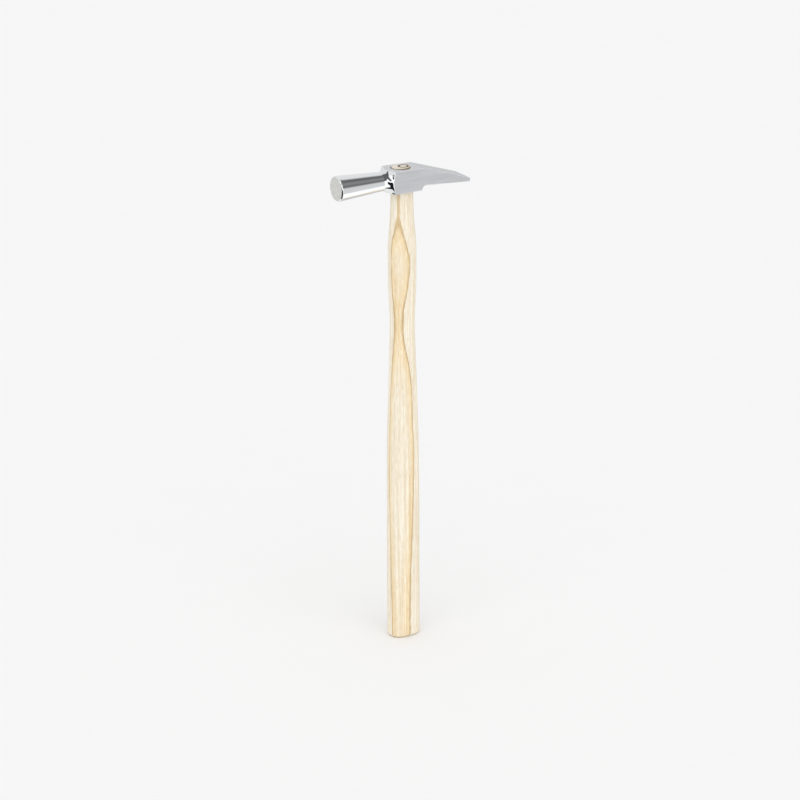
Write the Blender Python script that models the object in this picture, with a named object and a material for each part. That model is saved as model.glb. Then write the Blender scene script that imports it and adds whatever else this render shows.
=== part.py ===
"""Tack hammer: a forged steel head with a turned pole and a wedge peen, on an ash handle.

The head slides over the top of the handle, and a steel ring wedge driven into the end grain
spreads the wood in the eye. The hammer stands upright on its butt: Z runs up the handle, the
striking face looks along -X and the peen along +X. The handle's centre line is the Z axis.
Lengths are in metres.
"""

import math

import bmesh
import bpy

MM = 0.001

# The whole tool
TOTAL_HEIGHT = 300.0 * MM
FIT_GAP = 0.3 * MM

# Block of the head, round the eye
BLOCK_WIDTH = 16.2 * MM
BLOCK_HEIGHT = 13.95 * MM
BLOCK_CORNER = 0.3 * MM
BLOCK_FRONT_X = -6.5 * MM
BLOCK_HEEL_X = 9.3 * MM
BLOCK_TOP_Z = TOTAL_HEIGHT
BLOCK_FOOT_Z = BLOCK_TOP_Z - BLOCK_HEIGHT
AXIS_RISE = 7.15 * MM
AXIS_Z = BLOCK_FOOT_Z + AXIS_RISE

# Turned pole and the cove where it runs into the block
FACE_X = -44.8 * MM
FACE_RADIUS = 7.65 * MM
FACE_CHAMFER = 0.6 * MM
NECK_X = -15.0 * MM
NECK_RADIUS = 5.75 * MM
COVE_RADIUS = 5.7 * MM
ARRIS_EASE = 0.3 * MM

# Wedge peen. The block's top falls a little on its way to the ridge.
RIDGE_X = 10.6 * MM
RIDGE_FALL = 0.5 * MM
RIDGE_EASE = 0.5 * MM
THROAT_RADIUS = 2.8 * MM
TIP_X = 42.4 * MM
TIP_WIDTH = 16.6 * MM
TIP_THICKNESS = 2.25 * MM
TIP_FOOT_RISE = 0.75 * MM
TIP_ROUND = 0.8 * MM
PEEN_CORNER = 0.25 * MM

# Eye through the block
EYE_X = -0.8 * MM
EYE_LENGTH = 12.4 * MM
EYE_WIDTH = 10.4 * MM
EYE_CHAMFER = 0.2 * MM
EYE_OVERRUN = 1.0 * MM

# Handle: half breadth along X and half thickness along Y at each height, butt to shoulder, in mm
HANDLE_STATIONS = (
    (0.0, 10.27, 7.65),
    (90.0, 10.27, 7.65),
    (115.0, 10.15, 7.55),
    (165.0, 8.95, 6.80),
    (203.0, 7.87, 6.14),
    (230.0, 8.97, 6.60),
    (249.0, 9.03, 6.68),
    (271.0, 7.45, 5.75),
    (286.0, 7.05, 5.40),
)
GRIP_SQUARENESS = 2.4
NECK_SQUARENESS = 2.0
BUTT_ROUND = 2.0 * MM
SHOULDER_Z = BLOCK_FOOT_Z - FIT_GAP
TENON_PROUD = 0.4 * MM
TENON_ROUND = 0.3 * MM
TENON_TOP_Z = TOTAL_HEIGHT + TENON_PROUD

# Ring wedge in the end grain
WEDGE_X = 1.0 * MM
WEDGE_RADIUS = 3.25 * MM
WEDGE_WALL = 1.0 * MM
WEDGE_EDGE = 0.3 * MM
WEDGE_DEPTH = 8.0 * MM

# Fineness of the faceted surfaces
CORNER_STEPS = 3
CHEEK_STEPS = 8
TOP_STEPS = 8
COVE_STEPS = 8
ARRIS_STEPS = 2
FILLET_STEPS = 5
PEEN_STEPS = 6
OVAL_SIDES = 48
HANDLE_STEP = 6.0 * MM
BUTT_STEPS = 4


def clear_scene():
    for item in list(bpy.data.objects):
        bpy.data.objects.remove(item, do_unlink=True)


def make_material(name, color, metallic, roughness):
    material = bpy.data.materials.new(name)
    material.use_nodes = True
    shader = material.node_tree.nodes["Principled BSDF"]
    shader.inputs["Base Color"].default_value = (*color, 1.0)
    shader.inputs["Metallic"].default_value = metallic
    shader.inputs["Roughness"].default_value = roughness
    return material


def mesh_object(name, points, faces, material, smooth_angle=math.radians(28)):
    """An object with outward faces, smooth where its facets turn by less than the given angle."""
    mesh = bpy.data.meshes.new(name)
    mesh.from_pydata(points, [], faces)
    work = bmesh.new()
    work.from_mesh(mesh)
    bmesh.ops.remove_doubles(work, verts=work.verts, dist=1e-7)
    bmesh.ops.recalc_face_normals(work, faces=work.faces)
    for face in work.faces:
        face.smooth = True
    for edge in work.edges:
        edge.smooth = edge.calc_face_angle(0.0) < smooth_angle
    work.to_mesh(mesh)
    work.free()
    item = bpy.data.objects.new(name, mesh)
    bpy.context.scene.collection.objects.link(item)
    if material is not None:
        mesh.materials.append(material)
    return item


def skin(loops):
    """Points and faces of a tube through closed loops of equal length, capped at both ends."""
    count = len(loops[0])
    points = [point for loop in loops for point in loop]
    faces = []
    for row in range(len(loops) - 1):
        near = row * count
        far = near + count
        for i in range(count):
            j = (i + 1) % count
            faces.append((near + i, near + j, far + j, far + i))
    faces.append(tuple(range(count)))
    last = (len(loops) - 1) * count
    faces.append(tuple(range(last + count - 1, last - 1, -1)))
    return points, faces


def subtract(item, cutter):
    """Cut one object out of another and drop the cutter."""
    cutter.hide_render = True
    cutter.display_type = "WIRE"
    modifier = item.modifiers.new("cut", "BOOLEAN")
    modifier.operation = "DIFFERENCE"
    modifier.solver = "EXACT"
    modifier.object = cutter


def rounded_section(half_width, height, corner):
    """Rounded rectangle as (across, up) pairs, up from 0 to height, anticlockwise from +Y."""
    inner = half_width - corner
    centres = (
        (inner, height - corner, 0.0),
        (-inner, height - corner, 90.0),
        (-inner, corner, 180.0),
        (inner, corner, 270.0),
    )
    sides = (TOP_STEPS, CHEEK_STEPS, TOP_STEPS, CHEEK_STEPS)
    section = []
    for index, (across, up, start) in enumerate(centres):
        for step in range(CORNER_STEPS + 1):
            turn = math.radians(start + 90.0 * step / CORNER_STEPS)
            section.append((across + corner * math.cos(turn), up + corner * math.sin(turn)))
        here = section[-1]
        ahead = centres[(index + 1) % 4]
        turn = math.radians(ahead[2])
        there = (ahead[0] + corner * math.cos(turn), ahead[1] + corner * math.sin(turn))
        for step in range(1, sides[index]):
            share = step / sides[index]
            across_here = here[0] + (there[0] - here[0]) * share
            up_here = here[1] + (there[1] - here[1]) * share
            section.append((across_here, up_here))
    return section


def slanted_loop(top, foot, half_width, corner):
    """A rounded section standing between a top point and a foot point of the side view."""
    run = top[0] - foot[0]
    rise = top[1] - foot[1]
    height = math.hypot(run, rise)
    loop = []
    for across, up in rounded_section(half_width, height, corner):
        share = up / height
        loop.append((foot[0] + run * share, across, foot[1] + rise * share))
    return loop


def turned_loops():
    """Loops from the striking face, along the pole and cove, to where the block's walls start."""
    wall = rounded_section(BLOCK_WIDTH / 2, BLOCK_HEIGHT, BLOCK_CORNER)
    rays = []
    for across, up in wall:
        rise = up - AXIS_RISE
        rays.append((math.atan2(rise, across), math.hypot(across, rise)))

    cove_centre_r = NECK_RADIUS + COVE_RADIUS
    taper = math.atan2(FACE_RADIUS - NECK_RADIUS, NECK_X - FACE_X)
    loops = []

    def ring(x, radius):
        return [
            (x, radius * math.cos(turn), AXIS_Z + radius * math.sin(turn)) for turn, _ in rays
        ]

    loops.append(ring(FACE_X, FACE_RADIUS - FACE_CHAMFER))
    loops.append(ring(FACE_X + FACE_CHAMFER, FACE_RADIUS))
    for step in range(COVE_STEPS + 1):
        loop = []
        for turn, reach in rays:
            end = math.acos((cove_centre_r - reach) / COVE_RADIUS) - ARRIS_EASE / COVE_RADIUS
            bend = -taper + (end + taper) * step / COVE_STEPS
            x = NECK_X + COVE_RADIUS * math.sin(bend)
            radius = cove_centre_r - COVE_RADIUS * math.cos(bend)
            loop.append((x, radius * math.cos(turn), AXIS_Z + radius * math.sin(turn)))
        loops.append(loop)
    for step in range(1, ARRIS_STEPS + 1):
        t = step / ARRIS_STEPS
        loop = []
        for turn, reach in rays:
            end = math.acos((cove_centre_r - reach) / COVE_RADIUS)
            eased = end - ARRIS_EASE / COVE_RADIUS
            start_x = NECK_X + COVE_RADIUS * math.sin(eased)
            start_r = cove_centre_r - COVE_RADIUS * math.cos(eased)
            corner_x = NECK_X + COVE_RADIUS * math.sin(end)
            weights = ((1 - t) ** 2, 2 * t * (1 - t), t**2)
            x = weights[0] * start_x + weights[1] * corner_x + weights[2] * (corner_x + ARRIS_EASE)
            radius = weights[0] * start_r + (weights[1] + weights[2]) * reach
            loop.append((x, radius * math.cos(turn), AXIS_Z + radius * math.sin(turn)))
        loops.append(loop)
    return loops


def peen_outline():
    """Pairs of top and foot points of the side view, from the block's front to the tip."""
    tip_top_z = BLOCK_FOOT_Z + TIP_FOOT_RISE + TIP_THICKNESS
    tip_foot_z = BLOCK_FOOT_Z + TIP_FOOT_RISE
    throat_z = BLOCK_FOOT_Z + THROAT_RADIUS
    throat_x = BLOCK_HEEL_X + THROAT_RADIUS
    ridge_z = BLOCK_TOP_Z - RIDGE_FALL
    block_slope = RIDGE_FALL / (RIDGE_X - BLOCK_FRONT_X)
    peen_slope = (ridge_z - tip_top_z) / (TIP_X - RIDGE_X)

    def top_at(x):
        """Height of the top line, with the ridge eased by a parabola."""
        t = (x - (RIDGE_X - RIDGE_EASE)) / (2 * RIDGE_EASE)
        if t >= 1:
            return ridge_z - peen_slope * (x - RIDGE_X)
        before = ridge_z - block_slope * (x - RIDGE_X)
        return before - (peen_slope - block_slope) * RIDGE_EASE * max(t, 0.0) ** 2

    before_heel = BLOCK_HEEL_X - RIDGE_EASE
    pairs = [
        ((BLOCK_FRONT_X, BLOCK_TOP_Z), (BLOCK_FRONT_X, BLOCK_FOOT_Z)),
        ((before_heel, top_at(before_heel)), (before_heel, BLOCK_FOOT_Z)),
    ]

    for step in range(FILLET_STEPS + 1):
        turn = math.pi / 2 * step / FILLET_STEPS
        foot_x = throat_x - THROAT_RADIUS * math.cos(turn)
        foot_z = BLOCK_FOOT_Z + THROAT_RADIUS * math.sin(turn)
        top_x = RIDGE_X - RIDGE_EASE + 2 * RIDGE_EASE * step / FILLET_STEPS
        pairs.append(((top_x, top_at(top_x)), (foot_x, foot_z)))

    end_x = TIP_X - TIP_ROUND
    first_top_x = pairs[-1][0][0]
    for step in range(1, PEEN_STEPS + 1):
        share = step / PEEN_STEPS
        top_x = first_top_x + (end_x - first_top_x) * share
        foot_x = throat_x + (end_x - throat_x) * share
        foot_z = throat_z + (tip_foot_z - throat_z) * share
        pairs.append(((top_x, top_at(top_x)), (foot_x, foot_z)))

    top_z = top_at(end_x)
    for turn in (30.0, 60.0, 90.0):
        drop = TIP_ROUND * (1 - math.cos(math.radians(turn)))
        x = end_x + TIP_ROUND * math.sin(math.radians(turn))
        pairs.append(((x, top_z - drop), (x, tip_foot_z + drop)))
    return pairs


def make_head(material):
    loops = turned_loops()
    for top, foot in peen_outline():
        share = min(max((foot[0] - BLOCK_HEEL_X) / (TIP_X - BLOCK_HEEL_X), 0.0), 1.0)
        half_width = (BLOCK_WIDTH + (TIP_WIDTH - BLOCK_WIDTH) * share) / 2
        corner = BLOCK_CORNER + (PEEN_CORNER - BLOCK_CORNER) * share
        loops.append(slanted_loop(top, foot, half_width, corner))
    points, faces = skin(loops)
    head = mesh_object("head", points, faces, material)

    over = EYE_CHAMFER + EYE_OVERRUN
    levels = (
        (BLOCK_FOOT_Z - EYE_OVERRUN, over),
        (BLOCK_FOOT_Z + EYE_CHAMFER, 0.0),
        (BLOCK_TOP_Z - EYE_CHAMFER, 0.0),
        (BLOCK_TOP_Z + EYE_OVERRUN, over),
    )
    cutter_loops = [
        oval_loop(EYE_LENGTH / 2 + flare, EYE_WIDTH / 2 + flare, z, centre_x=EYE_X)
        for z, flare in levels
    ]
    cutter_points, cutter_faces = skin(cutter_loops)
    subtract(head, mesh_object("eye_cutter", cutter_points, cutter_faces, None))
    return head


def oval_loop(half_x, half_y, z, squareness=2.0, centre_x=0.0):
    """Superellipse at height z: squareness 2 is an ellipse, and more is squarer."""
    loop = []
    power = 2.0 / squareness
    for side in range(OVAL_SIDES):
        turn = 2 * math.pi * side / OVAL_SIDES
        along = math.cos(turn)
        across = math.sin(turn)
        x = centre_x + half_x * math.copysign(abs(along) ** power, along)
        y = half_y * math.copysign(abs(across) ** power, across)
        loop.append((x, y, z))
    return loop


def station_tangents(column):
    """Slopes of a smooth curve through one column of the handle's stations, without overshoot."""
    heights = [row[0] for row in HANDLE_STATIONS]
    values = [row[column] for row in HANDLE_STATIONS]
    slopes = [
        (values[i + 1] - values[i]) / (heights[i + 1] - heights[i])
        for i in range(len(values) - 1)
    ]
    tangents = [slopes[0]]
    for before, after in zip(slopes, slopes[1:]):
        same_way = before * after > 0
        tangents.append(2 * before * after / (before + after) if same_way else 0.0)
    tangents.append(slopes[-1])
    return tangents


def handle_half_size(z, column, tangents):
    """Half size in metres at height z, by cubic pieces between the stations."""
    height = min(max(z / MM, HANDLE_STATIONS[0][0]), HANDLE_STATIONS[-1][0])
    i = 0
    while i < len(HANDLE_STATIONS) - 2 and height > HANDLE_STATIONS[i + 1][0]:
        i += 1
    low = HANDLE_STATIONS[i]
    high = HANDLE_STATIONS[i + 1]
    span = high[0] - low[0]
    t = (height - low[0]) / span
    value = (2 * t**3 - 3 * t**2 + 1) * low[column]
    value += (t**3 - 2 * t**2 + t) * span * tangents[i]
    value += (3 * t**2 - 2 * t**3) * high[column]
    value += (t**3 - t**2) * span * tangents[i + 1]
    return value * MM


def make_handle(material):
    breadth = station_tangents(1)
    thickness = station_tangents(2)

    def section(z, inset=0.0):
        share = z / SHOULDER_Z
        squareness = GRIP_SQUARENESS + (NECK_SQUARENESS - GRIP_SQUARENESS) * share
        half_x = handle_half_size(z, 1, breadth) - inset
        half_y = handle_half_size(z, 2, thickness) - inset
        return oval_loop(half_x, half_y, z, squareness)

    loops = []
    for step in range(BUTT_STEPS):
        turn = math.pi / 2 * step / BUTT_STEPS
        inset = BUTT_ROUND * (1 - math.sin(turn))
        loops.append(section(BUTT_ROUND * (1 - math.cos(turn)), inset))
    count = round((SHOULDER_Z - BUTT_ROUND) / HANDLE_STEP)
    for step in range(count + 1):
        loops.append(section(BUTT_ROUND + (SHOULDER_Z - BUTT_ROUND) * step / count))
    tenon_x = EYE_LENGTH / 2 - FIT_GAP
    tenon_y = EYE_WIDTH / 2 - FIT_GAP
    tenon = ((SHOULDER_Z, 0.0), (TENON_TOP_Z - TENON_ROUND, 0.0), (TENON_TOP_Z, TENON_ROUND))
    for z, inset in tenon:
        loops.append(oval_loop(tenon_x - inset, tenon_y - inset, z, centre_x=EYE_X))
    points, faces = skin(loops)
    handle = mesh_object("handle", points, faces, material)
    subtract(handle, ring_wedge_shape("wedge_seat_cutter", None, FIT_GAP, EYE_OVERRUN))
    return handle


def ring_wedge_shape(name, material, gap=0.0, overrun=0.0):
    """A tapered tube with its edge down. The gap swells it and the overrun raises its top."""
    top = TENON_TOP_Z + overrun
    foot = TENON_TOP_Z - WEDGE_DEPTH - gap
    outer = WEDGE_RADIUS + gap
    inner_top = WEDGE_RADIUS - WEDGE_WALL - gap
    inner_foot = WEDGE_RADIUS - WEDGE_EDGE - gap
    rings = ((outer, foot), (outer, top), (inner_top, top), (inner_foot, foot))
    points = []
    for radius, z in rings:
        points.extend(oval_loop(radius, radius, z, centre_x=WEDGE_X))
    faces = []
    for ring in range(len(rings)):
        near = ring * OVAL_SIDES
        far = (ring + 1) % len(rings) * OVAL_SIDES
        for i in range(OVAL_SIDES):
            j = (i + 1) % OVAL_SIDES
            faces.append((near + i, near + j, far + j, far + i))
    return mesh_object(name, points, faces, material)


def main():
    clear_scene()
    steel = make_material("polished_steel", (0.62, 0.63, 0.65), 1.0, 0.18)
    ash = make_material("ash_wood", (0.80, 0.66, 0.45), 0.0, 0.55)
    wedge_steel = make_material("wedge_steel", (0.30, 0.29, 0.28), 1.0, 0.45)
    make_head(steel)
    make_handle(ash)
    ring_wedge_shape("ring_wedge", wedge_steel)


main()
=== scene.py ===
"""Looks of the tack hammer: fine meshes, procedural steel and ash, and a pale studio.

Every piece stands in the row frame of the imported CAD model, in metres: Z up the handle, the
striking face towards -X and the peen towards +X. Each fine piece replaces its CAD node.
"""

import math

import bmesh
import bpy
from mathutils import Matrix, Vector


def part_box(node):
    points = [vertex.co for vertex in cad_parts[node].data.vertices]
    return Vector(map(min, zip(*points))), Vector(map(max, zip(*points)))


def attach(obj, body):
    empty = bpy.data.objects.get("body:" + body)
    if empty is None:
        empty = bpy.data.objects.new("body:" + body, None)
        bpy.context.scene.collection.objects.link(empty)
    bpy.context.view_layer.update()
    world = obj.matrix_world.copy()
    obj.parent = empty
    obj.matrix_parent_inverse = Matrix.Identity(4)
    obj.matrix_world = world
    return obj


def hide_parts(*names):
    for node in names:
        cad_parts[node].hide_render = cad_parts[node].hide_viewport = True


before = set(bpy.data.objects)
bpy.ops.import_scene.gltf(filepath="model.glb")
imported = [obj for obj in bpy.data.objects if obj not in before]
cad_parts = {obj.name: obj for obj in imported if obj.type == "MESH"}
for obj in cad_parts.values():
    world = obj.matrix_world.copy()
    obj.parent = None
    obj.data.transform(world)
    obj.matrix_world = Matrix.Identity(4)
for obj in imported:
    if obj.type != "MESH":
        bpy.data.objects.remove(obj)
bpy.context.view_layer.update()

MM = 0.001

# ---------------------------------------------------------------- sizes, from the CAD model
HEAD_LOW, HEAD_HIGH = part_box("head")
HANDLE_LOW, HANDLE_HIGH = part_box("handle")
WEDGE_LOW, WEDGE_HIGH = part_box("ring_wedge")

TENON_PROUD = 0.4 * MM
BLOCK_TOP_Z = HANDLE_HIGH.z - TENON_PROUD
BLOCK_HEIGHT = 13.95 * MM
BLOCK_FOOT_Z = BLOCK_TOP_Z - BLOCK_HEIGHT
AXIS_Z = (HEAD_LOW.z + HEAD_HIGH.z) / 2
BLOCK_WIDTH = 16.2 * MM
BLOCK_CORNER = 0.3 * MM
BLOCK_FRONT_X = -6.5 * MM
BLOCK_HEEL_X = 9.3 * MM
FACE_X = HEAD_LOW.x
FACE_RADIUS = (HEAD_HIGH.z - HEAD_LOW.z) / 2
FACE_CHAMFER = 0.6 * MM
RIM_EASE = 0.2 * MM
NECK_X = -15.0 * MM
NECK_RADIUS = 5.75 * MM
COVE_RADIUS = 5.7 * MM
ARRIS_EASE = 0.45 * MM
RIDGE_X = 10.6 * MM
RIDGE_FALL = 0.5 * MM
RIDGE_EASE = 0.5 * MM
THROAT_RADIUS = 2.8 * MM
HEEL_EASE = 0.35 * MM
TIP_X = HEAD_HIGH.x
TIP_WIDTH = HEAD_HIGH.y - HEAD_LOW.y
TIP_THICKNESS = 2.25 * MM
TIP_FOOT_RISE = 0.75 * MM
TIP_ROUND = 0.8 * MM
PEEN_CORNER = 0.25 * MM
EYE_X = -0.8 * MM
EYE_LENGTH = 12.4 * MM
EYE_WIDTH = 10.4 * MM
EYE_CHAMFER = 0.2 * MM
EYE_OVERRUN = 1.0 * MM
EYE_CLEARANCE = 0.12 * MM
TENON_SHORT = 0.35 * MM
TENON_ROUND = 0.35 * MM
WEDGE_X = (WEDGE_LOW.x + WEDGE_HIGH.x) / 2
WEDGE_RADIUS = (WEDGE_HIGH.x - WEDGE_LOW.x) / 2
WEDGE_WALL = 1.0 * MM
WEDGE_EDGE = 0.3 * MM
WEDGE_EASE = 0.12 * MM
WEDGE_CLEARANCE = 0.05 * MM
BUTT_ROUND = 2.0 * MM
SHOULDER_GAP = 0.05 * MM
SHOULDER_Z = BLOCK_FOOT_Z - SHOULDER_GAP

# Handle: half breadth along X and half thickness along Y at each height, in millimetres
HANDLE_STATIONS = (
    (0.0, 10.27, 7.65),
    (90.0, 10.27, 7.65),
    (115.0, 10.15, 7.55),
    (165.0, 8.95, 6.80),
    (203.0, 7.87, 6.14),
    (230.0, 8.97, 6.60),
    (249.0, 9.03, 6.68),
    (271.0, 7.45, 5.75),
    (286.0, 7.05, 5.40),
)
GRIP_SQUARENESS = 2.4
NECK_SQUARENESS = 2.0

# Growth ring that draws the figure. At each height in millimetres its plane is turned this many
# degrees round the handle, and it cuts this many millimetres under the handle's crown.
RING_STATIONS = (
    (0.0, -22.6, 1.60),
    (25.0, -23.5, 1.75),
    (58.0, -23.8, 2.20),
    (91.0, -24.2, 2.75),
    (125.0, -24.9, 3.10),
    (143.0, -25.2, 2.65),
    (157.0, -24.9, 2.42),
    (175.0, -26.4, 1.75),
    (188.0, -31.3, 1.00),
    (200.0, -34.0, 0.53),
    (212.0, -32.0, 0.62),
    (225.0, -26.5, 1.23),
    (243.0, -23.4, 1.74),
    (251.0, -26.0, 1.30),
    (263.0, -31.0, 0.42),
    (270.0, -33.0, 0.08),
    (300.0, -33.0, 0.055),
)
# The ring bends to a curve of this radius
RING_BEND_MM = 50.0

# Fineness
CORNER_STEPS = 6
CHEEK_STEPS = 40
TOP_STEPS = 40
COVE_STEPS = 28
EASE_STEPS = 4
FILLET_STEPS = 14
PEEN_STEPS = 24
OVAL_SIDES = 128
HANDLE_STEP = 1.5 * MM
BUTT_STEPS = 12
SHARP_ANGLE = math.radians(26)
WELD_DISTANCE = 1e-7
# Where the loops of the flat ends stand, as shares of the way out from the middle
FACE_RINGS = (0.25, 0.5, 0.75, 0.9)
BUTT_RINGS = (0.3, 0.6, 0.85)
# Faces that lean at least this much both across and up belong to a long edge's rounding
ARRIS_LEAN = 0.1


# ---------------------------------------------------------------- mesh helpers
def new_mesh_object(name, points, faces, material_of_face=None):
    """A new object in the scene, with a material index for each face where they are given."""
    mesh = bpy.data.meshes.new(name)
    mesh.from_pydata(points, [], faces)
    if material_of_face is not None:
        for polygon, index in zip(mesh.polygons, material_of_face):
            polygon.material_index = index
    item = bpy.data.objects.new(name, mesh)
    bpy.context.scene.collection.objects.link(item)
    return item


def skin(loops, closed=False):
    """Points and faces of a tube through closed loops; its ends are capped unless it closes on itself."""
    count = len(loops[0])
    points = [point for loop in loops for point in loop]
    faces = []
    rows = len(loops) if closed else len(loops) - 1
    for row in range(rows):
        near = row * count
        far = (row + 1) % len(loops) * count
        for i in range(count):
            j = (i + 1) % count
            faces.append((near + i, near + j, far + j, far + i))
    if not closed:
        last = (len(loops) - 1) * count
        faces.append(tuple(range(count)))
        faces.append(tuple(range(last + count - 1, last - 1, -1)))
    return points, faces


def finish_mesh(item):
    """Weld, face outwards, and shade smooth between sharp edges."""
    work = bmesh.new()
    work.from_mesh(item.data)
    bmesh.ops.remove_doubles(work, verts=work.verts, dist=WELD_DISTANCE)
    bmesh.ops.dissolve_degenerate(work, edges=work.edges, dist=WELD_DISTANCE)
    bmesh.ops.recalc_face_normals(work, faces=work.faces)
    for face in work.faces:
        face.smooth = True
    for edge in work.edges:
        edge.smooth = edge.calc_face_angle(0.0) < SHARP_ANGLE
    work.to_mesh(item.data)
    work.free()
    weighted = item.modifiers.new("weighted_normals", "WEIGHTED_NORMAL")
    weighted.mode = "FACE_AREA"
    weighted.keep_sharp = True
    weighted.weight = 50


def face_outwards(item):
    work = bmesh.new()
    work.from_mesh(item.data)
    bmesh.ops.recalc_face_normals(work, faces=work.faces)
    work.to_mesh(item.data)
    work.free()


def subtract(item, cutter):
    """Cut one closed mesh out of another for good, and remove the cutter."""
    face_outwards(item)
    face_outwards(cutter)
    modifier = item.modifiers.new("cut", "BOOLEAN")
    modifier.operation = "DIFFERENCE"
    modifier.solver = "EXACT"
    modifier.object = cutter
    bpy.context.view_layer.update()
    evaluated = item.evaluated_get(bpy.context.evaluated_depsgraph_get())
    mesh = bpy.data.meshes.new_from_object(evaluated)
    item.modifiers.remove(modifier)
    old = item.data
    item.data = mesh
    mesh.name = item.name
    bpy.data.meshes.remove(old)
    bpy.data.objects.remove(cutter, do_unlink=True)


def bezier(start, corner, end, t):
    """Point at t on the curve that eases a corner."""
    return tuple(
        (1 - t) ** 2 * a + 2 * t * (1 - t) * b + t**2 * c for a, b, c in zip(start, corner, end)
    )


def oval_loop(half_x, half_y, z, squareness=2.0, centre_x=0.0):
    """Superellipse at height z: squareness 2 is an ellipse, and more is squarer."""
    loop = []
    power = 2.0 / squareness
    for side in range(OVAL_SIDES):
        turn = 2 * math.pi * (side + 0.5) / OVAL_SIDES
        along = math.cos(turn)
        across = math.sin(turn)
        x = centre_x + half_x * math.copysign(abs(along) ** power, along)
        y = half_y * math.copysign(abs(across) ** power, across)
        loop.append((x, y, z))
    return loop


# ---------------------------------------------------------------- head
def rounded_section(half_width, height, corner):
    """Rounded rectangle as (across, up) pairs, up from 0 to height, anticlockwise from +Y."""
    inner = half_width - corner
    centres = (
        (inner, height - corner, 0.0),
        (-inner, height - corner, 90.0),
        (-inner, corner, 180.0),
        (inner, corner, 270.0),
    )
    sides = (TOP_STEPS, CHEEK_STEPS, TOP_STEPS, CHEEK_STEPS)
    section = []
    for index, (across, up, start) in enumerate(centres):
        for step in range(CORNER_STEPS + 1):
            turn = math.radians(start + 90.0 * step / CORNER_STEPS)
            section.append((across + corner * math.cos(turn), up + corner * math.sin(turn)))
        here = section[-1]
        ahead = centres[(index + 1) % 4]
        turn = math.radians(ahead[2])
        there = (ahead[0] + corner * math.cos(turn), ahead[1] + corner * math.sin(turn))
        for step in range(1, sides[index]):
            share = step / sides[index]
            across_here = here[0] + (there[0] - here[0]) * share
            up_here = here[1] + (there[1] - here[1]) * share
            section.append((across_here, up_here))
    return section


def slanted_loop(top, foot, half_width, corner):
    """A rounded section standing between a top point and a foot point of the side view."""
    run = top[0] - foot[0]
    rise = top[1] - foot[1]
    height = math.hypot(run, rise)
    loop = []
    for across, up in rounded_section(half_width, height, corner):
        share = up / height
        loop.append((foot[0] + run * share, across, foot[1] + rise * share))
    return loop


def turned_profile(reach):
    """Side profile (x, radius) of the turned part on a ray whose block wall is at this reach."""
    flat = FACE_RADIUS - FACE_CHAMFER
    diagonal = RIM_EASE / math.sqrt(2)
    centre_r = NECK_RADIUS + COVE_RADIUS
    taper = math.atan2(FACE_RADIUS - NECK_RADIUS, NECK_X - FACE_X)
    profile = [(FACE_X, flat * share) for share in FACE_RINGS]
    rim = (
        ((FACE_X, flat - RIM_EASE), (FACE_X, flat), (FACE_X + diagonal, flat + diagonal)),
        (
            (FACE_X + FACE_CHAMFER - diagonal, FACE_RADIUS - diagonal),
            (FACE_X + FACE_CHAMFER, FACE_RADIUS),
            (FACE_X + FACE_CHAMFER + RIM_EASE, FACE_RADIUS - RIM_EASE * math.tan(taper)),
        ),
    )
    for corner in rim:
        for step in range(EASE_STEPS + 1):
            profile.append(bezier(*corner, step / EASE_STEPS))
    face_count = len(profile)

    pole_start = profile[-1]
    cove_start = (
        NECK_X - COVE_RADIUS * math.sin(taper),
        centre_r - COVE_RADIUS * math.cos(taper),
    )
    for step in range(1, PEEN_STEPS):
        share = step / PEEN_STEPS
        profile.append(
            (
                pole_start[0] + (cove_start[0] - pole_start[0]) * share,
                pole_start[1] + (cove_start[1] - pole_start[1]) * share,
            )
        )
    end = math.acos((centre_r - reach) / COVE_RADIUS)
    eased = end - ARRIS_EASE / COVE_RADIUS
    for step in range(COVE_STEPS + 1):
        bend = -taper + (eased + taper) * step / COVE_STEPS
        profile.append(
            (NECK_X + COVE_RADIUS * math.sin(bend), centre_r - COVE_RADIUS * math.cos(bend))
        )
    cove_end = profile[-1]
    corner_x = NECK_X + COVE_RADIUS * math.sin(end)
    for step in range(1, EASE_STEPS + 1):
        profile.append(
            bezier(cove_end, (corner_x, reach), (corner_x + ARRIS_EASE, reach), step / EASE_STEPS)
        )
    profile.append((corner_x + 2 * ARRIS_EASE, reach))
    return profile, face_count


def turned_loops():
    """Loops from the striking face, along the pole and cove, to where the block's walls start."""
    wall = rounded_section(BLOCK_WIDTH / 2, BLOCK_HEIGHT, BLOCK_CORNER)
    columns = []
    for across, up in wall:
        rise = up - (AXIS_Z - BLOCK_FOOT_Z)
        profile, face_count = turned_profile(math.hypot(across, rise))
        turn = math.atan2(rise, across)
        columns.append(
            [(x, r * math.cos(turn), AXIS_Z + r * math.sin(turn)) for x, r in profile]
        )
    loops = [list(loop) for loop in zip(*columns)]
    return loops, face_count


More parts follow.
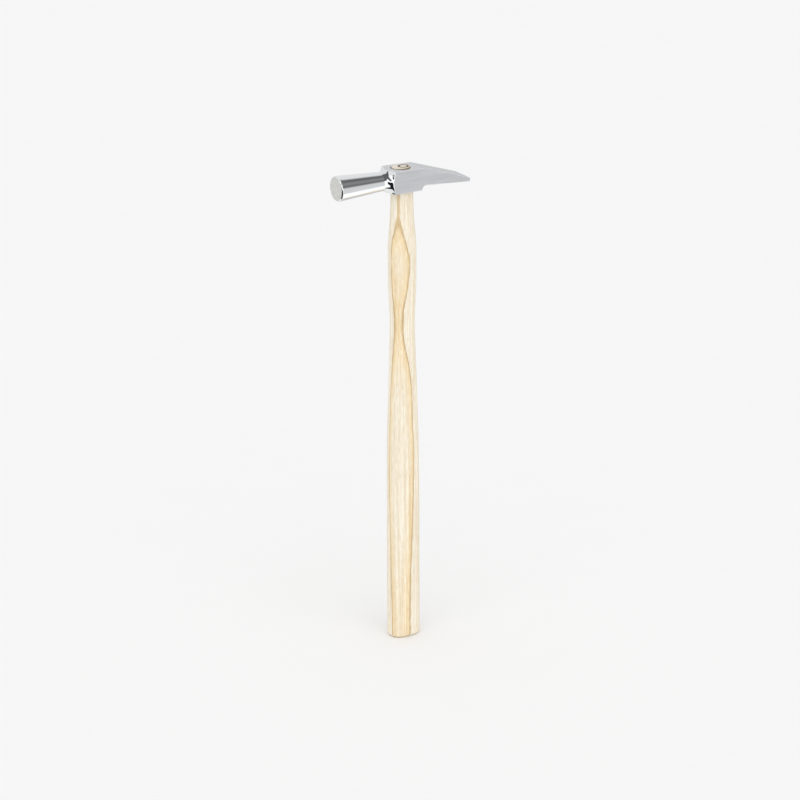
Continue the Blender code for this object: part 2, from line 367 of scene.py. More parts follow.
def peen_outline():
    """Pairs of top and foot points of the side view, from the block's front to the tip."""
    tip_foot_z = BLOCK_FOOT_Z + TIP_FOOT_RISE
    tip_top_z = tip_foot_z + TIP_THICKNESS
    throat_z = BLOCK_FOOT_Z + THROAT_RADIUS
    throat_x = BLOCK_HEEL_X + THROAT_RADIUS
    ridge_z = BLOCK_TOP_Z - RIDGE_FALL
    block_slope = RIDGE_FALL / (RIDGE_X - BLOCK_FRONT_X)
    peen_slope = (ridge_z - tip_top_z) / (TIP_X - RIDGE_X)

    def top_at(x):
        """Height of the top line, with the ridge eased by a parabola."""
        t = (x - (RIDGE_X - RIDGE_EASE)) / (2 * RIDGE_EASE)
        if t >= 1:
            return ridge_z - peen_slope * (x - RIDGE_X)
        before = ridge_z - block_slope * (x - RIDGE_X)
        return before - (peen_slope - block_slope) * RIDGE_EASE * max(t, 0.0) ** 2

    feet = [
        (BLOCK_FRONT_X, BLOCK_FOOT_Z),
        (BLOCK_HEEL_X - 2 * HEEL_EASE, BLOCK_FOOT_Z),
    ]
    heel_turn = HEEL_EASE / THROAT_RADIUS
    heel = (
        (BLOCK_HEEL_X - HEEL_EASE, BLOCK_FOOT_Z),
        (BLOCK_HEEL_X, BLOCK_FOOT_Z),
        (
            throat_x - THROAT_RADIUS * math.cos(heel_turn),
            BLOCK_FOOT_Z + THROAT_RADIUS * math.sin(heel_turn),
        ),
    )
    for step in range(EASE_STEPS + 1):
        feet.append(bezier(*heel, step / EASE_STEPS))
    for step in range(1, FILLET_STEPS + 1):
        turn = heel_turn + (math.pi / 2 - heel_turn) * step / FILLET_STEPS
        feet.append(
            (throat_x - THROAT_RADIUS * math.cos(turn), BLOCK_FOOT_Z + THROAT_RADIUS * math.sin(turn))
        )
    tops = [BLOCK_FRONT_X]
    first = RIDGE_X - 2 * RIDGE_EASE
    last = RIDGE_X + 2 * RIDGE_EASE
    for step in range(len(feet) - 1):
        tops.append(first + (last - first) * step / (len(feet) - 2))
    pairs = [((x, top_at(x)), foot) for x, foot in zip(tops, feet)]

    end_x = TIP_X - TIP_ROUND
    for step in range(1, PEEN_STEPS + 1):
        share = step / PEEN_STEPS
        top_x = last + (end_x - last) * share
        foot_x = throat_x + (end_x - throat_x) * share
        foot_z = throat_z + (tip_foot_z - throat_z) * share
        pairs.append(((top_x, top_at(top_x)), (foot_x, foot_z)))
    top_z = top_at(end_x)
    tip_steps = 2 * EASE_STEPS
    for step in range(1, tip_steps + 1):
        turn = math.pi / 2 * step / tip_steps
        drop = TIP_ROUND * (1 - math.cos(turn))
        x = end_x + TIP_ROUND * math.sin(turn)
        pairs.append(((x, top_z - drop), (x, tip_foot_z + drop)))
    return pairs


def make_head(materials):
    """The forging as one mesh with the eye cut through it; materials are given by surface."""
    loops, face_count = turned_loops()
    polished_rows = len(loops) - 2
    for top, foot in peen_outline():
        share = min(max((foot[0] - BLOCK_HEEL_X) / (TIP_X - BLOCK_HEEL_X), 0.0), 1.0)
        half_width = (BLOCK_WIDTH + (TIP_WIDTH - BLOCK_WIDTH) * share) / 2
        corner = BLOCK_CORNER + (PEEN_CORNER - BLOCK_CORNER) * share
        loops.append(slanted_loop(top, foot, half_width, corner))
    points, faces = skin(loops)
    count = len(loops[0])
    rim_rows = face_count - 2 * (EASE_STEPS + 1)
    names = list(materials)
    face_index = names.index("face")
    polished_index = names.index("polished")
    ground_index = names.index("ground")
    indices = []
    for index in range(len(faces) - 2):
        row = index // count
        if row < rim_rows:
            indices.append(face_index)
        elif row < polished_rows:
            indices.append(polished_index)
        else:
            indices.append(ground_index)
    indices += [face_index, ground_index]
    head = new_mesh_object("hammer_head", points, faces, indices)
    for material in materials.values():
        head.data.materials.append(material)
    # The faces of the long edges' rounding take the arris steel: a painted highlight along the edges,
    # lighter and less metallic than the ground steel.
    for polygon in head.data.polygons:
        _, across, up = polygon.normal
        if polygon.material_index == ground_index and min(abs(across), abs(up)) > ARRIS_LEAN:
            polygon.material_index = names.index("arris_highlight")

    over = EYE_CHAMFER + EYE_OVERRUN
    levels = (
        (BLOCK_FOOT_Z - EYE_OVERRUN, over),
        (BLOCK_FOOT_Z + EYE_CHAMFER, 0.0),
        (BLOCK_TOP_Z - EYE_CHAMFER, 0.0),
        (BLOCK_TOP_Z + EYE_OVERRUN, over),
    )
    eye_loops = [
        oval_loop(EYE_LENGTH / 2 + flare, EYE_WIDTH / 2 + flare, z, centre_x=EYE_X)
        for z, flare in levels
    ]
    cutter = new_mesh_object("eye_cutter", *skin(eye_loops))
    for material in materials.values():
        cutter.data.materials.append(material)
    for polygon in cutter.data.polygons:
        polygon.material_index = names.index("eye")
    subtract(head, cutter)
    finish_mesh(head)
    return head


# ---------------------------------------------------------------- handle
def at_height(stations, z, column):
    """Value in millimetres at height z: a smooth curve through the stations, without overshoot."""
    heights = [row[0] for row in stations]
    values = [row[column] for row in stations]
    slopes = [
        (values[i + 1] - values[i]) / (heights[i + 1] - heights[i]) for i in range(len(values) - 1)
    ]
    tangents = [slopes[0]]
    for before, after in zip(slopes, slopes[1:]):
        same_way = before * after > 0
        tangents.append(2 * before * after / (before + after) if same_way else 0.0)
    tangents.append(slopes[-1])

    height = min(max(z / MM, heights[0]), heights[-1])
    i = 0
    while i < len(heights) - 2 and height > heights[i + 1]:
        i += 1
    span = heights[i + 1] - heights[i]
    t = (height - heights[i]) / span
    value = (2 * t**3 - 3 * t**2 + 1) * values[i]
    value += (t**3 - 2 * t**2 + t) * span * tangents[i]
    value += (3 * t**2 - 2 * t**3) * values[i + 1]
    value += (t**3 - t**2) * span * tangents[i + 1]
    return value


def handle_section(z, inset=0.0):
    """Loop round the handle at height z, drawn in by the inset."""
    share = min(z / SHOULDER_Z, 1.0)
    squareness = GRIP_SQUARENESS + (NECK_SQUARENESS - GRIP_SQUARENESS) * share
    half_x = at_height(HANDLE_STATIONS, z, 1) * MM - inset
    half_y = at_height(HANDLE_STATIONS, z, 2) * MM - inset
    return oval_loop(half_x, half_y, z, squareness)


def make_handle(material):
    """The stick from its rounded butt to the shoulder, with the tenon and the ring wedge's seat."""
    loops = []
    for share in BUTT_RINGS:
        loops.append([(x * share, y * share, z) for x, y, z in handle_section(0.0, BUTT_ROUND)])
    for step in range(BUTT_STEPS):
        turn = math.pi / 2 * step / BUTT_STEPS
        inset = BUTT_ROUND * (1 - math.sin(turn))
        loops.append(handle_section(BUTT_ROUND * (1 - math.cos(turn)), inset))
    count = round((SHOULDER_Z - BUTT_ROUND) / HANDLE_STEP)
    for step in range(count + 1):
        loops.append(handle_section(BUTT_ROUND + (SHOULDER_Z - BUTT_ROUND) * step / count))
    tenon_x = EYE_LENGTH / 2 - EYE_CLEARANCE - TENON_SHORT / 2
    tenon_y = EYE_WIDTH / 2 - EYE_CLEARANCE
    centre_x = EYE_X + TENON_SHORT / 2
    tenon = [(SHOULDER_Z, 0.0), ((SHOULDER_Z + BLOCK_TOP_Z) / 2, 0.0)]
    for step in range(EASE_STEPS + 1):
        turn = math.pi / 2 * step / EASE_STEPS
        z = HANDLE_HIGH.z - TENON_ROUND * (1 - math.sin(turn))
        tenon.append((z, TENON_ROUND * (1 - math.cos(turn))))
    for z, inset in tenon:
        loops.append(oval_loop(tenon_x - inset, tenon_y - inset, z, centre_x=centre_x))
    handle = new_mesh_object("ash_handle", *skin(loops))
    handle.data.materials.append(material)
    seat = new_mesh_object("seat_cutter", *ring_wedge_surface(WEDGE_CLEARANCE, EYE_OVERRUN, 0.0))
    seat.data.materials.append(material)
    subtract(handle, seat)
    finish_mesh(handle)
    return handle


def ring_wedge_surface(gap, overrun, ease):
    """A tapered tube with its edge down. The gap swells it and the overrun raises its top."""
    top = WEDGE_HIGH.z + overrun
    foot = WEDGE_LOW.z - gap
    outer = WEDGE_RADIUS + gap
    inner_top = WEDGE_RADIUS - WEDGE_WALL - gap
    inner_foot = WEDGE_RADIUS - WEDGE_EDGE - gap
    profile = [(outer, foot)]
    if ease > 0:
        corners = (
            ((outer, top - ease), (outer, top), (outer - ease, top)),
            ((inner_top + ease, top), (inner_top, top), (inner_top, top - ease)),
        )
        for corner in corners:
            for step in range(EASE_STEPS + 1):
                profile.append(bezier(*corner, step / EASE_STEPS))
    else:
        profile += [(outer, top), (inner_top, top)]
    profile.append((inner_foot, foot))
    loops = [oval_loop(radius, radius, z, centre_x=WEDGE_X) for radius, z in profile]
    return skin(loops, closed=True)


def make_ring_wedge(material):
    """The driven steel ring, with its top edges eased."""
    ring = new_mesh_object("steel_ring_wedge", *ring_wedge_surface(0.0, 0.0, WEDGE_EASE))
    ring.data.materials.append(material)
    finish_mesh(ring)
    return ring


# ---------------------------------------------------------------- shader helpers
# Sockets of the Mix node that hold colours
COLOUR_A, COLOUR_B, COLOUR_OUT = 6, 7, 2


class Graph:
    """Small helper that adds nodes to one tree and joins them. Values may be numbers or sockets."""

    def __init__(self, tree):
        self.tree = tree

    def node(self, kind, **settings):
        item = self.tree.nodes.new(kind)
        for key, value in settings.items():
            setattr(item, key, value)
        return item

    def put(self, socket, value):
        if isinstance(value, bpy.types.NodeSocket):
            self.tree.links.new(value, socket)
        else:
            socket.default_value = value

    def math(self, operation, *values):
        item = self.node("ShaderNodeMath", operation=operation)
        for socket, value in zip(item.inputs, values):
            self.put(socket, value)
        return item.outputs[0]

    def scaled(self, vector, factors):
        item = self.node("ShaderNodeVectorMath", operation="MULTIPLY")
        self.put(item.inputs[0], vector)
        item.inputs[1].default_value = factors
        return item.outputs[0]

    def noise(self, place, per_mm, detail=3.0, roughness=0.5):
        """Noise with this many spots per millimetre along X, Y and Z, for a place in millimetres."""
        item = self.node("ShaderNodeTexNoise", noise_dimensions="3D")
        self.put(item.inputs["Vector"], self.scaled(place, per_mm))
        item.inputs["Scale"].default_value = 1.0
        item.inputs["Detail"].default_value = detail
        item.inputs["Roughness"].default_value = roughness
        return item.outputs["Fac"]

    def remap(self, value, low, high, to_low=0.0, to_high=1.0, kind="LINEAR"):
        """Carry the range from low to high over to another range, and stop at its ends."""
        item = self.node("ShaderNodeMapRange", interpolation_type=kind, clamp=True)
        self.put(item.inputs["Value"], value)
        item.inputs["From Min"].default_value = low
        item.inputs["From Max"].default_value = high
        item.inputs["To Min"].default_value = to_low
        item.inputs["To Max"].default_value = to_high
        return item.outputs["Result"]

    def mix(self, factor, first, second):
        item = self.node("ShaderNodeMix", data_type="RGBA")
        self.put(item.inputs["Factor"], factor)
        self.put(item.inputs[COLOUR_A], first)
        self.put(item.inputs[COLOUR_B], second)
        return item.outputs[COLOUR_OUT]

    def bump(self, height, distance, normal=None):
        """Normal tilted by a height from 0 to 1 that stands for this distance in metres."""
        item = self.node("ShaderNodeBump")
        item.inputs["Strength"].default_value = 1.0
        item.inputs["Distance"].default_value = distance
        self.put(item.inputs["Height"], height)
        if normal is not None:
            self.put(item.inputs["Normal"], normal)
        return item.outputs["Normal"]

    def split(self, vector):
        item = self.node("ShaderNodeSeparateXYZ")
        self.put(item.inputs[0], vector)
        return item.outputs

    def ramp(self, value, stops):
        """Grey level that follows a list of (position, level) stops."""
        item = self.node("ShaderNodeValToRGB")
        self.put(item.inputs["Fac"], value)
        elements = item.color_ramp.elements
        elements.remove(elements[-1])
        elements[0].position, level = stops[0]
        elements[0].color = grey(level)
        for position, level in stops[1:]:
            elements.new(position).color = grey(level)
        return item.outputs["Color"]

    def curve(self, share, value_at, low, span, count):
        """Value that follows value_at(share) for a share from 0 to 1, within low to low + span."""
        item = self.node("ShaderNodeFloatCurve")
        points = item.mapping.curves[0].points
        for step in range(1, count):
            points.new(step / count, 0.0)
        for point in points:
            share_here = point.location[0]
            point.location = (share_here, (value_at(share_here) - low) / span)
        item.mapping.update()
        self.put(item.inputs["Value"], share)
        return self.math("MULTIPLY_ADD", item.outputs[0], span, low)

    def distance_from(self, place, across, centre):
        """Distance from a centre in millimetres, counting only the axes that are 1 in across."""
        item = self.node("ShaderNodeVectorMath", operation="DISTANCE")
        self.put(item.inputs[0], self.scaled(place, across))
        item.inputs[1].default_value = centre
        return item.outputs["Value"]

    def millimetres(self):
        """The point on the object in the row frame, in millimetres."""
        place = self.node("ShaderNodeTexCoord")
        return self.scaled(place.outputs["Object"], (1000.0, 1000.0, 1000.0))


class Surface(Graph):
    """The node graph of one new material; shader holds the sockets of its Principled shader."""

    def __init__(self, name):
        self.material = bpy.data.materials.new(name)
        self.material.use_nodes = True
        super().__init__(self.material.node_tree)
        self.shader = self.tree.nodes["Principled BSDF"].inputs


def grey(level):
    return (level, level, level, 1.0)


def rgb(red, green, blue):
    """A colour given as it looks on a screen, 0 to 255, turned linear."""
    linear = []
    for value in (red, green, blue):
        share = value / 255
        linear.append(share / 12.92 if share <= 0.04045 else ((share + 0.055) / 1.055) ** 2.4)
    return (*linear, 1.0)


# ---------------------------------------------------------------- steel
def polished_steel():
    """Mirror-polished turned steel: faint lines round the axis, and a hand-polished, wavy cove."""
    g = Surface("polished_steel")
    place = g.millimetres()
    lines = g.noise(place, (9.0, 0.35, 0.35), detail=4.0, roughness=0.6)
    haze = g.noise(place, (0.12, 0.12, 0.12), detail=3.0)
    g.put(g.shader["Base Color"], g.mix(haze, rgb(238, 240, 243), rgb(246, 247, 248)))
    g.shader["Metallic"].default_value = 1.0
    rough = g.math("ADD", g.remap(lines, 0.3, 0.7, 0.03, 0.06), g.remap(haze, 0.4, 0.7, 0.0, 0.03))
    g.put(g.shader["Roughness"], rough)
    x, _, _ = g.split(place)
    in_cove = g.remap(x, NECK_X / MM - 1.0, NECK_X / MM + 3.0, kind="SMOOTHSTEP")
    wave = g.noise(place, (0.36, 0.36, 0.36), detail=0.0)
    wavy = g.bump(g.math("MULTIPLY", wave, in_cove), 0.0009)
    g.put(g.shader["Normal"], g.bump(lines, 0.0000012, normal=wavy))
    return g.material


def ground_steel(name, low, high, roughness, metallic=1.0):
    """Satin-ground steel: fine straight lines along the head, with soft clouding."""
    g = Surface(name)
    place = g.millimetres()
    lines = g.noise(place, (0.10, 7.0, 7.0), detail=5.0, roughness=0.65)
    broad = g.noise(place, (0.05, 0.9, 0.9), detail=2.0)
    cloud = g.noise(place, (0.22, 0.22, 0.22), detail=3.0)
    tone = g.math("ADD", g.math("MULTIPLY", lines, 0.5), g.math("MULTIPLY", broad, 0.5))
    base = g.mix(g.remap(tone, 0.35, 0.65), low, high)
    g.put(g.shader["Base Color"], g.mix(g.remap(cloud, 0.45, 0.75, 0.0, 0.25), base, low))
    g.shader["Metallic"].default_value = metallic
    g.put(g.shader["Roughness"], g.remap(tone, 0.3, 0.7, roughness - 0.05, roughness + 0.05))
    g.put(g.shader["Normal"], g.bump(lines, 0.000004))
    return g.material


def striking_face_steel():
    """The striking face: a fine matt cross-ground disc, a little darker at its worn edge."""
    g = Surface("striking_face_steel")
    place = g.millimetres()
    grain = g.noise(place, (0.6, 0.6, 0.6), detail=5.0, roughness=0.7)
    lines = g.noise(place, (1.0, 7.0, 0.5), detail=4.0, roughness=0.6)
    tone = g.math("ADD", g.math("MULTIPLY", grain, 0.7), g.math("MULTIPLY", lines, 0.3))
    base = g.mix(g.remap(tone, 0.38, 0.62), rgb(218, 218, 215), rgb(243, 242, 238))
    from_axis = g.distance_from(place, (0.0, 1.0, 1.0), (0.0, 0.0, AXIS_Z / MM))
    flat = (FACE_RADIUS - FACE_CHAMFER) / MM
    worn = g.remap(from_axis, flat - 0.9, flat - 0.1, 0.0, 0.5, kind="SMOOTHSTEP")
    g.put(g.shader["Base Color"], g.mix(worn, base, rgb(190, 192, 194)))
    g.shader["Metallic"].default_value = 1.0
    g.put(g.shader["Roughness"], g.remap(tone, 0.3, 0.7, 0.34, 0.44))
    g.put(g.shader["Normal"], g.bump(tone, 0.000006))
    return g.material


def dark_steel(name, low, high):
    """Plain unpolished steel, dark and a little mottled: the eye's wall and the ring wedge."""
    g = Surface(name)
    place = g.millimetres()
    mottle = g.noise(place, (1.3, 1.3, 1.3), detail=5.0, roughness=0.6)
    g.put(g.shader["Base Color"], g.mix(g.remap(mottle, 0.35, 0.65), low, high))
    g.shader["Metallic"].default_value = 1.0
    g.put(g.shader["Roughness"], g.remap(mottle, 0.3, 0.7, 0.38, 0.6))
    g.put(g.shader["Normal"], g.bump(mottle, 0.00001))
    return g.material


# ---------------------------------------------------------------- ash
PALE_FIBRES = (rgb(232, 217, 191), rgb(255, 250, 234))
WARM_FIBRES = (rgb(232, 204, 154), rgb(252, 231, 190))
LINE_BROWN = rgb(190, 158, 110)
FIBRE_TAN = rgb(222, 194, 150)
PORE_BROWN = rgb(168, 130, 84)
FLECK_TAN = rgb(226, 203, 166)
FLECK_CREAM = rgb(255, 251, 238)
DUST_GREY = rgb(208, 202, 190)
# Painted shade of the gap between the tenon and the eye's wall
GAP_SHADE_BROWN = rgb(128, 98, 62)
BRUISE_BROWN = rgb(140, 118, 88)

# Heights over which the ring steadies, and its line fades, towards the neck
NECK_MM = (260.0, 269.0)
LINE_FADES_MM = (260.0, 272.0)
# Depths into a ring over which its dark line and its warm wood come and go
LINE_STARTS_MM = (0.0, 0.04)
LINE_ENDS_MM = (0.16, 0.58)
TINT_STARTS_MM = (0.0, 0.05)
TINT_ENDS_MM = (0.4, 2.5)
# How strong a line and its warm wood are in any ring, and how much stronger in the main one
LINE_STRENGTH = 0.10
MAIN_LINE_EXTRA = 0.72
TINT_STRENGTH = 0.18
MAIN_TINT_EXTRA = 0.78
# How far, in millimetres, the rings stray at most: in fine teeth, and in long slow bends
RAGGED_MM = 0.34
WANDER_MM = 0.5
RING_PITCH_MM = 3.6
RING_CURVE_POINTS = 60
# Ranges that hold the ring's depth in millimetres and its turn
RING_DEPTH_LOW = 3.0
RING_DEPTH_SPAN = 7.0
RING_TURN_LOW = math.radians(-50)
RING_TURN_SPAN = math.radians(50)


def ring_turn(share):
    """Turn of the ring's plane at a share of the height from the butt to the block's top."""
    return math.radians(at_height(RING_STATIONS, share * BLOCK_TOP_Z, 1))


def main_ring_depth(share):
    """Distance in millimetres of the main growth ring from the handle's centre line."""
    z = share * BLOCK_TOP_Z
    turn = ring_turn(share)
    crown = 0.0
    for x, y, _ in handle_section(min(z, SHOULDER_Z)):
        out = (x * math.sin(turn) - y * math.cos(turn)) / MM
        aside = (x * math.cos(turn) + y * math.sin(turn)) / MM
        crown = max(crown, out + aside**2 / (2 * RING_BEND_MM))
    return crown - at_height(RING_STATIONS, z, 2)


def ring_distance(g, place):
    """How far, in millimetres, a point lies outside the main growth ring."""
    _, _, z = g.split(place)
    share = g.remap(z, 0.0, BLOCK_TOP_Z / MM)
    turn = g.curve(share, ring_turn, RING_TURN_LOW, RING_TURN_SPAN, RING_CURVE_POINTS)
    depth = g.curve(share, main_ring_depth, RING_DEPTH_LOW, RING_DEPTH_SPAN, RING_CURVE_POINTS)
    rotate = g.node("ShaderNodeVectorRotate", rotation_type="Z_AXIS")
    g.put(rotate.inputs["Vector"], place)
    g.put(rotate.inputs["Angle"], g.math("MULTIPLY", turn, -1.0))
    aside, inwards, _ = g.split(rotate.outputs["Vector"])
    bend = g.math("DIVIDE", g.math("MULTIPLY", aside, aside), 2 * RING_BEND_MM)
    reach = g.math("SUBTRACT", bend, inwards)
    return g.math("SUBTRACT", reach, depth)


def growth_rings(g, place):
    """Strength of the rings' dark lines, and of the warm wood inside each line."""
    _, _, z = g.split(place)
    ragged = g.noise(place, (1.2, 1.2, 0.10), detail=4.0, roughness=0.6)
    wander = g.noise(place, (0.10, 0.10, 0.03), detail=2.0)
    below_neck = g.remap(z, *NECK_MM, 1.0, 0.05, kind="SMOOTHSTEP")
    swing = g.math("MULTIPLY_ADD", ragged, RAGGED_MM, g.math("MULTIPLY", wander, WANDER_MM))
    middle = (RAGGED_MM + WANDER_MM) / 2
    swing = g.math("MULTIPLY", g.math("SUBTRACT", swing, middle), below_neck)
    ring = g.math("ADD", ring_distance(g, place), swing)
    turns = g.math("DIVIDE", ring, RING_PITCH_MM)
    is_main = g.math("COMPARE", g.math("FLOOR", turns), 0.0, 0.5)
    into = g.math("MULTIPLY", g.math("FRACT", turns), RING_PITCH_MM)
    line = g.math(
        "MULTIPLY",
        g.remap(into, *LINE_STARTS_MM, kind="SMOOTHSTEP"),
        g.remap(into, *LINE_ENDS_MM, 1.0, 0.0, kind="SMOOTHSTEP"),
    )
    tint = g.math(
        "MULTIPLY",
        g.remap(into, *TINT_STARTS_MM, kind="SMOOTHSTEP"),
        g.remap(into, *TINT_ENDS_MM, 1.0, 0.0, kind="SMOOTHSTEP"),
    )
    line = g.math("MULTIPLY", line, g.math("MULTIPLY_ADD", is_main, MAIN_LINE_EXTRA, LINE_STRENGTH))
    line = g.math("MULTIPLY", line, g.remap(z, *LINE_FADES_MM, 1.0, 0.6, kind="SMOOTHSTEP"))
    tint = g.math("MULTIPLY", tint, g.math("MULTIPLY_ADD", is_main, MAIN_TINT_EXTRA, TINT_STRENGTH))
    return line, tint


def tenon_dirt_and_gap_shade(g, place, colour):
    """Dust greys the tenon's end, painted gap shade browns its rim along the eye's edge, and the wedge
    bruises it.
    """
    x, y, z = g.split(place)
    in_eye = g.remap(z, SHOULDER_Z / MM, SHOULDER_Z / MM + 1.0)
    colour = g.mix(g.math("MULTIPLY", in_eye, 0.65), colour, DUST_GREY)
    aside = g.math("DIVIDE", g.math("SUBTRACT", x, EYE_X / MM), EYE_LENGTH / 2 / MM)
    across = g.math("DIVIDE", y, EYE_WIDTH / 2 / MM)
    spread = g.math("MULTIPLY_ADD", aside, aside, g.math("MULTIPLY", across, across))
    # Painted shade: the tenon's rim browns towards the eye's edge, where the gap to the eye's wall shades
    # it.
    rim = g.remap(spread, 0.78, 0.94, 0.0, 0.75, kind="SMOOTHSTEP")
    colour = g.mix(g.math("MULTIPLY", rim, in_eye), colour, GAP_SHADE_BROWN)
    from_ring = g.distance_from(place, (1.0, 1.0, 0.0), (WEDGE_X / MM, 0.0, 0.0))
    middle = (WEDGE_RADIUS - WEDGE_WALL / 2) / MM
    off_middle = g.math("ABSOLUTE", g.math("SUBTRACT", from_ring, middle))
    bruised = g.math("MULTIPLY", g.remap(off_middle, 0.6, 1.0, 0.65, 0.0), in_eye)
    return g.mix(bruised, colour, BRUISE_BROWN)


def ash_wood():
    """Pale ash sawn on the flat: long fibres, and one growth ring that draws a pointed arch."""
    g = Surface("ash_wood")
    place = g.millimetres()
    line, tint = growth_rings(g, place)
    fibre = g.remap(g.noise(place, (1.1, 1.1, 0.016), detail=5.0, roughness=0.6), 0.35, 0.65)
    fine = g.noise(place, (4.5, 4.5, 0.05), detail=3.0, roughness=0.6)
    pores = g.noise(place, (5.0, 5.0, 0.16), detail=2.0, roughness=0.5)
    pore = g.math("MULTIPLY", g.remap(pores, 0.60, 0.70), g.math("MULTIPLY_ADD", line, 0.9, 0.10))
    fleck = g.noise(place, (1.4, 1.4, 0.20), detail=4.0, roughness=0.6)

    colour = g.mix(tint, g.mix(fibre, *PALE_FIBRES), g.mix(fibre, *WARM_FIBRES))
    colour = g.mix(line, colour, LINE_BROWN)
    colour = g.mix(g.remap(fine, 0.45, 0.75, 0.0, 0.22), colour, FIBRE_TAN)
    colour = g.mix(g.math("MULTIPLY", pore, 0.55), colour, PORE_BROWN)
    colour = g.mix(g.remap(fleck, 0.50, 0.70, 0.0, 0.50), colour, FLECK_TAN)
    colour = g.mix(g.remap(fleck, 0.46, 0.30, 0.0, 0.50), colour, FLECK_CREAM)
    g.put(g.shader["Base Color"], tenon_dirt_and_gap_shade(g, place, colour))

    g.put(g.shader["Roughness"], g.remap(fine, 0.3, 0.7, 0.46, 0.58))
    relief = g.math("SUBTRACT", g.math("MULTIPLY", fine, 0.4), pore)
    g.put(g.shader["Normal"], g.bump(relief, 0.00002))
    return g.material


# ---------------------------------------------------------------- studio
FLOOR_REACH = 8.0
FLOOR_GAP = 0.05 * MM


def make_floor():
    """Pale paper. Mirror surfaces look through it to the light table in the world below."""
    ends = (-FLOOR_REACH, FLOOR_REACH)
    corners = [(x, y, 0.0) for y in ends for x in ends]
    floor = new_mesh_object("studio_floor", corners, [(0, 1, 3, 2)])
    floor.location.z = HANDLE_LOW.z - FLOOR_GAP
    floor.visible_glossy = False
    g = Surface("floor_paper")
    mottle = g.noise(g.millimetres(), (0.02, 0.02, 0.02), detail=2.0)
    g.put(g.shader["Base Color"], g.mix(mottle, grey(0.86), grey(0.87)))
    g.shader["Roughness"].default_value = 0.9
    g.shader["Specular IOR Level"].default_value = 0.1
    floor.data.materials.append(g.material)


# Brightness of the studio round the head's axis, for three ranges of the direction's X. Degrees run
# from the back (-180), under the head (-90), to the front (0), over the top (90) and back again.
PEEN_SIDE = (
    (-180, 0.62),
    (-105, 0.60),
    (-92, 1.12),
    (-47, 1.12),
    (-39, 0.72),
    (3, 0.68),
    (11, 0.45),
    (17, 0.18),
    (27, 0.17),
    (40, 0.24),
    (51, 0.25),
    (63, 0.18),
    (69, 0.14),
    (86, 0.15),
    (95, 0.45),
    (105, 0.80),
    (180, 0.84),
)
MIDDLE = (
    (-180, 0.80),
    (-96, 0.90),
    (-84, 1.15),
    (8, 1.15),
    (17, 0.12),
    (88, 0.12),
    (102, 0.80),
    (180, 0.80),
)
FACE_SIDE = (
    (-180, 1.00),
    (-60, 0.90),
    (0, 1.15),
    (60, 1.15),
    (65, 0.15),
    (71, 0.15),
    (77, 1.15),
    (90, 1.15),
    (105, 0.80),
    (170, 0.85),
    (180, 1.00),
)
# Brightest level in the ramps, and the level that the camera and matt surfaces see all round
BRIGHTEST = 1.2
BACKDROP = 0.90
# Ranges of a direction's X over which one ramp gives way to the next
PEEN_SIDE_X = (0.25, 0.37)
FACE_SIDE_X = (-0.56, -0.46)
# Past the light table's edge all is black: where slope * X + offset + Z of a direction is under
# zero, but not where Y - Z goes past the back.
TABLE_SLOPE = 1.0
TABLE_OFFSET = 0.93
TABLE_SOFTNESS = 0.03
TABLE_BACK = (0.96, 1.04)
TABLE_BLACK = 0.985


def make_world():
    """A white tent and light table, with dark cards that draw the lines on the polished steel."""
    world = bpy.data.worlds.new("studio_tent")
    bpy.context.scene.world = world
    world.use_nodes = True
    world.cycles.sampling_method = "NONE"
    g = Graph(world.node_tree)
    g.tree.nodes.clear()
    x, y, z = g.split(g.node("ShaderNodeTexCoord").outputs["Generated"])
    turn = g.math("ARCTAN2", z, g.math("MULTIPLY", y, -1.0))
    share = g.math("MULTIPLY_ADD", turn, 1 / (2 * math.pi), 0.5)
    ramps = []
    for stops in (PEEN_SIDE, MIDDLE, FACE_SIDE):
        scaled = [(degrees / 360 + 0.5, level / BRIGHTEST) for degrees, level in stops]
        ramps.append(g.ramp(share, scaled))
    peen_side, middle, face_side = ramps
    tent = g.mix(g.remap(x, *PEEN_SIDE_X, kind="SMOOTHSTEP"), middle, peen_side)
    tent = g.mix(g.remap(x, *FACE_SIDE_X, 1.0, 0.0, kind="SMOOTHSTEP"), tent, face_side)

    above_edge = g.math("ADD", g.math("MULTIPLY_ADD", x, TABLE_SLOPE, TABLE_OFFSET), z)
    past_table = g.math(
        "MULTIPLY",
        g.remap(above_edge, -TABLE_SOFTNESS, TABLE_SOFTNESS, TABLE_BLACK, 0.0),
        g.remap(g.math("SUBTRACT", y, z), *TABLE_BACK, 1.0, 0.0),
    )
    tent = g.mix(past_table, tent, grey(0.0))

    output = g.node("ShaderNodeOutputWorld")
    lit = g.node("ShaderNodeBackground")
    g.put(lit.inputs["Color"], tent)
    lit.inputs["Strength"].default_value = BRIGHTEST
    backdrop = g.node("ShaderNodeBackground")
    backdrop.inputs["Color"].default_value = grey(BACKDROP)
    choose = g.node("ShaderNodeMixShader")
    g.put(choose.inputs["Fac"], g.node("ShaderNodeLightPath").outputs["Is Glossy Ray"])
    g.put(choose.inputs[1], backdrop.outputs[0])
    g.put(choose.inputs[2], lit.outputs[0])
    g.put(output.inputs["Surface"], choose.outputs[0])


KEY_ENERGY = 0.72
KEY_SPREAD = math.radians(70)
KEY_TURN = (math.radians(35), math.radians(-20), 0.0)


def make_lights():
    """One very soft overhead key, from the striking face's side."""
    data = bpy.data.lights.new("soft_key", "SUN")
    data.energy = KEY_ENERGY
    data.angle = KEY_SPREAD
    light = bpy.data.objects.new("soft_key", data)
    light.rotation_euler = KEY_TURN
    light.visible_glossy = False
    bpy.context.scene.collection.objects.link(light)


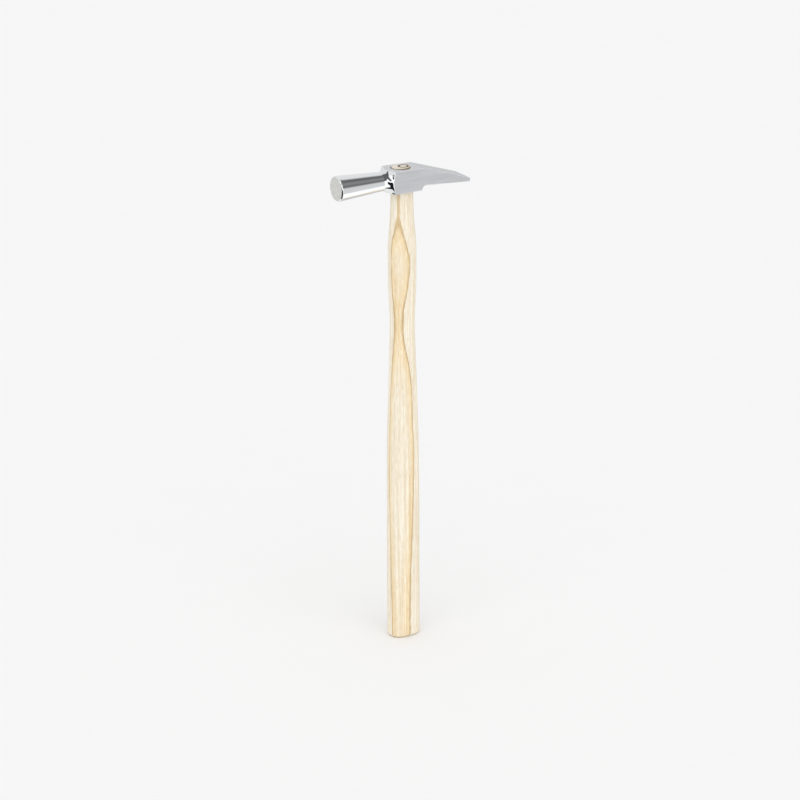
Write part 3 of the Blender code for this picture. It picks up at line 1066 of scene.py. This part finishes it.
CAMERA_AZIMUTH = math.radians(-30.7)
CAMERA_ELEVATION = math.radians(19.98)
CAMERA_DISTANCE = 2.0
CAMERA_LENS = 148.56
CAMERA_SENSOR = 36.0
CAMERA_CLIP = (0.05, 50.0)
CAMERA_ROLL = math.radians(0.24)
CAMERA_AIM = Vector((0.0, 0.0, BLOCK_TOP_Z / 2))
AIM_RIGHT = -1.63 * MM
AIM_UP = 3.35 * MM


def make_camera():
    """A long lens that looks at the tool from the striking face's side and a little above."""
    back = Vector(
        (
            math.sin(CAMERA_AZIMUTH) * math.cos(CAMERA_ELEVATION),
            -math.cos(CAMERA_AZIMUTH) * math.cos(CAMERA_ELEVATION),
            math.sin(CAMERA_ELEVATION),
        )
    )
    level = Vector((math.cos(CAMERA_AZIMUTH), math.sin(CAMERA_AZIMUTH), 0.0))
    upright = back.cross(level)
    right = level * math.cos(CAMERA_ROLL) - upright * math.sin(CAMERA_ROLL)
    up = level * math.sin(CAMERA_ROLL) + upright * math.cos(CAMERA_ROLL)
    data = bpy.data.cameras.new("camera")
    data.lens = CAMERA_LENS
    data.sensor_width = CAMERA_SENSOR
    data.clip_start, data.clip_end = CAMERA_CLIP
    camera = bpy.data.objects.new("camera", data)
    turn = Matrix((right, up, back)).transposed().to_4x4()
    aim = CAMERA_AIM + right * AIM_RIGHT + up * AIM_UP
    camera.matrix_world = Matrix.Translation(aim + back * CAMERA_DISTANCE) @ turn
    bpy.context.scene.collection.objects.link(camera)
    bpy.context.scene.camera = camera


# ---------------------------------------------------------------- assembly
bpy.context.scene.view_settings.view_transform = "Standard"

head = make_head(
    {
        "polished": polished_steel(),
        "ground": ground_steel("ground_steel", rgb(210, 212, 215), rgb(226, 227, 229), 0.35),
        # Painted highlight: the arris steel is a lighter, partly matt copy of the ground steel, so the
        # eased long edges read bright instead of taking a dark reflected line.
        "arris_highlight": ground_steel("arris_steel_painted_highlight", rgb(216, 217, 220), rgb(232, 233, 235), 0.60, 0.4),
        "face": striking_face_steel(),
        "eye": dark_steel("eye_wall_steel", rgb(96, 94, 92), rgb(128, 126, 124)),
    }
)
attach(head, "root")
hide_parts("head")

handle = make_handle(ash_wood())
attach(handle, "root")
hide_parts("handle")

ring = make_ring_wedge(dark_steel("ring_wedge_steel", rgb(86, 78, 68), rgb(114, 104, 92)))
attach(ring, "root")
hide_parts("ring_wedge")

make_floor()
make_world()
make_lights()
make_camera()
